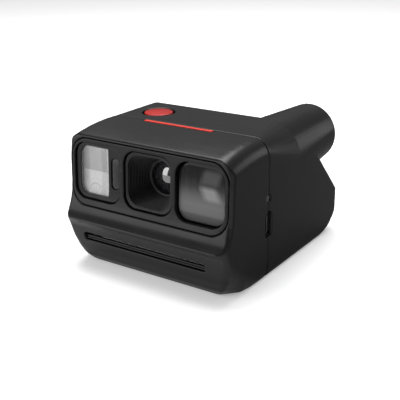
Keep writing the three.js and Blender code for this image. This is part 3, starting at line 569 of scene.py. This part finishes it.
def dress_cad_nodes():
    for part in frame["record"]["subparts"]:
        node = NODES[part["node"]]
        node.data.materials.clear()
        node.data.materials.append(FINISH[part["material_slot"]])
        if node.name in REMOULDED:
            remould(node, *REMOULDED[node.name])
        else:
            smooth_by_angle(node)


# ------------------------------------------------------------------ mesh tools

SHARE_AT_CENTRE = 0.02  # a skin that closes at its middle ends in a tiny ring, not a point
SMALL_RADIUS = 0.02 * MM


def piece(name, points, faces, body, slot, replaced=(), material=None):
    """A new piece that rides on a CAD body and takes the finish of one of the record's slots."""
    mesh = bpy.data.meshes.new(name)
    mesh.from_pydata(points, [], faces)
    work = bmesh.new()
    work.from_mesh(mesh)
    bmesh.ops.recalc_face_normals(work, faces=work.faces)
    work.to_mesh(mesh)
    work.free()
    mesh.materials.append(material or FINISH[slot])
    obj = bpy.data.objects.new(name, mesh)
    link_object(obj)
    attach(obj, body)
    if replaced:
        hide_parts(*replaced)
    smooth_by_angle(obj)


def bridged(rings, looped=False):
    """Points and quads of a skin over equal rings; its ends are closed, or meet as a loop."""
    count = len(rings[0])
    points = [point for ring in rings for point in ring]
    faces = []
    rows = len(rings) if looped else len(rings) - 1
    for row in range(rows):
        after = (row + 1) % len(rings)
        for k in range(count):
            m = (k + 1) % count
            faces.append((row * count + k, row * count + m, after * count + m, after * count + k))
    if not looped:
        faces.append(tuple(range(count)))
        faces.append(tuple((len(rings) - 1) * count + k for k in range(count)))
    return points, faces


def rounded_outline(x0, x1, z0, z1, radii, steps=10):
    """Points (x, z) round a rectangle; radii run bottom right, top right, top left, bottom left."""
    corners = [(x1, z0, -1, 1), (x1, z1, -1, -1), (x0, z1, 1, -1), (x0, z0, 1, 1)]
    points = []
    for number, ((x, z, way_x, way_z), radius) in enumerate(zip(corners, radii)):
        for step in range(steps + 1):
            angle = math.radians(-90 + 90 * number + 90 * step / steps)
            points.append((
                x + way_x * radius + radius * math.cos(angle),
                z + way_z * radius + radius * math.sin(angle),
            ))
    return points


def turned(profile, centre, axis, segments=64):
    """Rings of a piece turned about an axis through a centre; profile is (radius, along) pairs."""
    rings = []
    for radius, along in profile:
        ring = []
        for k in range(segments):
            angle = 2 * math.pi * k / segments
            a, b = radius * math.cos(angle), radius * math.sin(angle)
            offset = (a, along, b) if axis == "y" else (a, b, along)
            ring.append(tuple(c + o for c, o in zip(centre, offset)))
        rings.append(ring)
    return rings


def middle(low, high):
    return tuple((a + b) / 2 for a, b in zip(low, high))


def front_depth():
    """The front face's y at a height, read between two openings of the front panel."""
    panel = NODES["front_panel"]
    tree = BVHTree.FromObject(panel, bpy.context.evaluated_depsgraph_get())
    low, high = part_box("front_panel")
    bar_x = (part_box("flash_bezel")[1][0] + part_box("lens_baffle")[0][0]) / 2
    margin = 0.5 * MM
    ahead_y = -0.2

    def depth(z):
        height = min(max(z, low[2] + margin), high[2] - margin)
        hit = tree.ray_cast(Vector((bar_x, ahead_y, height)), Vector((0, 1, 0)))
        return hit[0].y if hit[0] else low[1]

    return depth


DEPTH = front_depth()

# ------------------------------------------------------------------ taking lens

FUNNEL_RIBS = 16
FUNNEL_CORNER = 5.6 * MM
FUNNEL_RECESS = 0.9 * MM
FUNNEL_NOSE = 0.18 * MM
FUNNEL_WALL = 1.6 * MM
RIB_SECTION = ((0.0, 0.0), (0.3 * MM, 0.1 * MM), (0.34 * MM, 0.4 * MM))  # narrower by, further back by
LENS_CURVE = 10.5 * MM
LENS_STEPS = 16
RETAINER_SECTION = (  # beyond the lens's radius, ahead of its seat, in mm
    (0.25, -0.1), (0.5, -0.3), (0.9, -0.4), (1.3, -0.3), (1.5, 0.0), (0.25, 0.0),
)


def make_funnel():
    """The baffle in front of the lens: square at its mouth, round at its end, ribbed all the way."""
    low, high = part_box("lens_baffle")
    lens_low, lens_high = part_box("front_lens")
    lens_x, _, lens_z = middle(lens_low, lens_high)
    mouth_x, _, mouth_z = middle(low, high)
    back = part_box("lens_barrel")[0][1] + 0.4 * MM
    end_radius = (lens_high[0] - lens_low[0]) / 2 + 1.5 * MM
    outer = (high[0] - low[0]) / 2 - 0.05 * MM
    start = outer - 1.0 * MM

    def ring(size, share, y_at):
        cx = mouth_x + (lens_x - mouth_x) * share
        cz = mouth_z + (lens_z - mouth_z) * share
        radius = min(FUNNEL_CORNER + (size - FUNNEL_CORNER) * share ** 1.5, size * 0.999)
        outline = rounded_outline(cx - size, cx + size, cz - size, cz + size, [radius] * 4)
        return [(x, y_at(z), z) for x, z in outline]

    def rim_ring(inset, behind):
        return ring(outer - inset, 0, lambda z: DEPTH(z) + FUNNEL_RECESS + behind)

    def rib_ring(share, shrink, behind):
        step = behind * (1.2 if share < 1 else 0.4)
        size = start + (end_radius - start) * share - shrink
        return ring(
            size,
            share,
            lambda z: (DEPTH(z) + FUNNEL_RECESS + FUNNEL_NOSE) * (1 - share) + back * share + step,
        )

    rings = [
        ring(outer, 0, lambda z: back + FUNNEL_WALL),
        rim_ring(0.0, 0.3 * MM),
        rim_ring(0.3 * MM, 0.0),
        rim_ring(0.8 * MM, 0.1 * MM),
    ]
    for rib in range(FUNNEL_RIBS):
        share = rib / (FUNNEL_RIBS - 1)
        rings += [rib_ring(share, shrink, behind) for shrink, behind in RIB_SECTION]
    rings.append(ring(end_radius - 0.3 * MM, 1, lambda z: back + FUNNEL_WALL))
    points, faces = bridged(rings, looped=True)
    piece("lens_funnel", points, faces, "camera_body", "inner", ["lens_baffle"], baffle_black())


def make_front_lens():
    """A domed front element and the ring that holds it in its barrel."""
    low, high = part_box("front_lens")
    x, _, z = middle(low, high)
    radius = (high[0] - low[0]) / 2
    front = low[1]
    profile = []
    for step in range(LENS_STEPS + 1):
        reach = max(radius * step / LENS_STEPS, SMALL_RADIUS)
        profile.append((reach, front + LENS_CURVE - math.sqrt(LENS_CURVE ** 2 - reach ** 2)))
    profile += [(radius, high[1]), (SMALL_RADIUS, high[1])]
    points, faces = bridged(turned(profile, (x, 0, z), "y"))
    piece("taking_lens", points, faces, "camera_body", "optic", ["front_lens"], lens_glass())
    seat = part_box("lens_barrel")[0][1] - 0.1 * MM
    section = [(radius + out * MM, seat + along * MM) for out, along in RETAINER_SECTION]
    points, faces = bridged(turned(section, (x, 0, z), "y"), looped=True)
    piece("lens_retainer", points, faces, "camera_body", "inner")


# ------------------------------------------------------------------ windows and flash

PANE_LEVELS = 9
FINDER_RIM = 0.15 * MM
FINDER_CORNER = 5.4 * MM
FLASH_CORNERS = [0.3 * MM, 0.3 * MM, 3.8 * MM, 3.8 * MM]
PILL_ROUNDNESS = 0.98
TROUGH_COLUMNS = 40
TROUGH_DEPTH = 2.9 * MM
TROUGH_FOLD = 0.7 * MM
TROUGH_PLATE = 0.8 * MM
TROUGH_FLUTE = 0.04 * MM


def pane(name, outline, recess, thick, bulge, slot, replaced, material):
    """A moulded window over an outline: it bulges forward and its edge is rounded over."""
    count = len(outline)
    cx = sum(x for x, _ in outline) / count
    cz = sum(z for _, z in outline) / count

    def ring(share, behind):
        points = [(cx + (x - cx) * share, cz + (z - cz) * share) for x, z in outline]
        return [(x, DEPTH(z) + recess + behind, z) for x, z in points]

    rings = []
    for level in range(PANE_LEVELS):
        share = SHARE_AT_CENTRE + 0.96 * level / (PANE_LEVELS - 1)
        rings.append(ring(share, -bulge * (1 - share ** 2)))
    rings.append(ring(0.992, 0.06 * MM))
    rings.append(ring(1.0, 0.25 * MM))
    rings.append(ring(1.0, thick))
    rings.append(ring(SHARE_AT_CENTRE, thick))
    points, faces = bridged(rings)
    piece(name, points, faces, "camera_body", slot, replaced, material)


def make_windows():
    low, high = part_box("viewfinder_window")
    finder = rounded_outline(
        low[0] + FINDER_RIM, high[0] - FINDER_RIM, low[2] + FINDER_RIM, high[2] - FINDER_RIM,
        [FINDER_CORNER] * 4,
    )
    pane("finder_front_glass", finder, 2.1 * MM, 0.8 * MM, 0.1 * MM, "optic", ["viewfinder_window"],
         finder_glass())
    low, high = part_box("flash_window")
    flash = rounded_outline(low[0], high[0], low[2], high[2], FLASH_CORNERS)
    pane("flash_lens", flash, 1.1 * MM, 1.4 * MM, 0.1 * MM, "clear", ["flash_window"], FINISH["clear"])
    low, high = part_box("light_sensor_window")
    radius = (high[0] - low[0]) / 2 * PILL_ROUNDNESS
    pill = rounded_outline(low[0], high[0], low[2], high[2], [radius] * 4)
    pane("sensor_lens", pill, 1.5 * MM, 0.9 * MM, 0.3 * MM, "smoked", ["light_sensor_window"],
         FINISH["smoked"])


def make_reflector():
    """A folded trough with upright flutes behind the flash window."""
    low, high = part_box("flash_window")
    _, _, mid = middle(low, high)
    x0, x1 = low[0] - 1.0 * MM, high[0] + 0.6 * MM
    bottom, top = low[2] - 0.7 * MM, high[2] + 0.7 * MM
    folds = [  # height, share of the fold's depth
        (bottom, 0.0), (mid - 5 * MM, 0.6), (mid - 0.1 * MM, 1.0),
        (mid + 0.1 * MM, 1.0), (mid + 5 * MM, 0.6), (top, 0.0),
    ]
    rings = []
    for column in range(TROUGH_COLUMNS + 1):
        x = x0 + (x1 - x0) * column / TROUGH_COLUMNS
        flute = TROUGH_FLUTE * (1 + math.cos(column * math.pi / 2))
        face = [(x, DEPTH(z) + TROUGH_DEPTH + TROUGH_FOLD * share + flute, z) for z, share in folds]
        behind = [(x, DEPTH(z) + TROUGH_DEPTH + TROUGH_FOLD + TROUGH_PLATE, z) for z, _ in reversed(folds)]
        rings.append(face + behind)
    points, faces = bridged(rings)
    # its material paints the trough's light and shade and makes it glow
    piece("flash_trough", points, faces, "camera_body", "reflector", ["flash_reflector"], glowing_painted_trough())


# ------------------------------------------------------------------ controls and slot

CAP_DOME = 0.5 * MM
CAP_EDGE = 0.45 * MM
CAP_EDGE_STEPS = 8
CAP_DOME_STEPS = 12
CAP_STEM = 1.6 * MM
CAP_HEIGHT = 3.1 * MM
CAP_SEGMENTS = 72

GUIDE_FRONT_Y = -47.1  # this and the sizes below in mm
GUIDE_THICK = 0.7
GUIDE_END_GAP = 1.6
GUIDE_BEADS = (  # height, proud of the front
    (12.2, 0), (12.35, 0.25), (12.6, 0.35), (12.85, 0.25), (13.0, 0),
    (13.25, 0), (13.4, 0.25), (13.65, 0.35), (13.9, 0.25), (14.05, 0),
)


def make_shutter_cap():
    """The red cap: a crowned top with a rounded rim, on the button's own stem."""
    low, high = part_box("shutter_button")
    x, y, _ = middle(low, high)
    radius = (high[0] - low[0]) / 2
    top = high[2]
    skirt = top - CAP_HEIGHT
    profile = [(SMALL_RADIUS, low[2]), (CAP_STEM, low[2]), (CAP_STEM, skirt), (radius, skirt)]
    for step in range(CAP_EDGE_STEPS + 1):
        angle = math.radians(90 * step / CAP_EDGE_STEPS)
        profile.append((
            radius - CAP_EDGE + CAP_EDGE * math.cos(angle),
            top - CAP_DOME - CAP_EDGE + CAP_EDGE * math.sin(angle),
        ))
    for step in range(1, CAP_DOME_STEPS + 1):
        share = 1 - step / CAP_DOME_STEPS
        profile.append((max((radius - CAP_EDGE) * share, SMALL_RADIUS), top - CAP_DOME * share ** 2))
    points, faces = bridged(turned(profile, (x, y, 0), "z", CAP_SEGMENTS))
    piece("shutter_cap", points, faces, "shutter_button", "button_red", ["shutter_button"])


def make_slot_guide():
    """The beaded apron just inside the film exit, which the print slides over."""
    roller_low, roller_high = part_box("upper_roller")
    x0, x1 = roller_low[0] + GUIDE_END_GAP * MM, roller_high[0]
    back = GUIDE_FRONT_Y + GUIDE_THICK
    outline = [(GUIDE_FRONT_Y - proud, z) for z, proud in GUIDE_BEADS]
    outline += [(back, GUIDE_BEADS[-1][0]), (back, GUIDE_BEADS[0][0])]
    points, faces = bridged([[(x, y * MM, z * MM) for y, z in outline] for x in (x0, x1)])
    piece("print_guide", points, faces, "camera_body", "inner", (), FINISH["panel"])


make_camera()
for light in LIGHTS:
    area_light(*light)
make_world()
make_floor()
dress_cad_nodes()
make_funnel()
make_front_lens()
make_windows()
make_reflector()
make_shutter_cap()
make_slot_guide()
